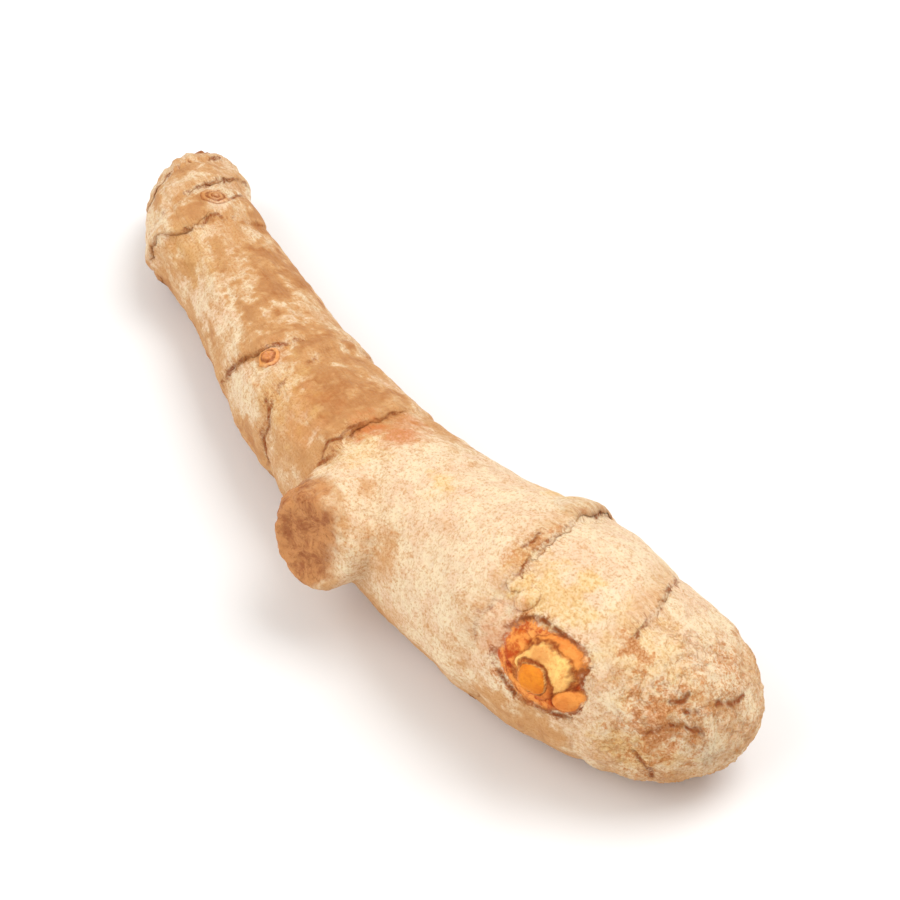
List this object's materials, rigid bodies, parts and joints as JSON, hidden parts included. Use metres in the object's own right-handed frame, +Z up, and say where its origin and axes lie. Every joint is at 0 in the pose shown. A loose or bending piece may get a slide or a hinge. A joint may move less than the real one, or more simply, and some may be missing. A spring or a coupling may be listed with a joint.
{
  "type": "turmeric root",
  "caption": "Whole fresh turmeric finger: a bowed, jointed root piece that thickens to a blunt tip, with ringed leaf scars, scaly buds and the stub of a side finger.",
  "frame": {"origin": "under the middle of the finger, on the surface it lies on", "axes": "+X along the finger from the broken base to the growing tip, +Z up, so the finger bows toward -Y and its side stub points to -Y"},
  "size_m": [0.1026, 0.0296, 0.0209],
  "materials": {
    "turmeric_skin": "matte"
  },
  "bodies": {
    "root": {"turmeric_finger": "turmeric_skin"}
  },
  "joints": []
}
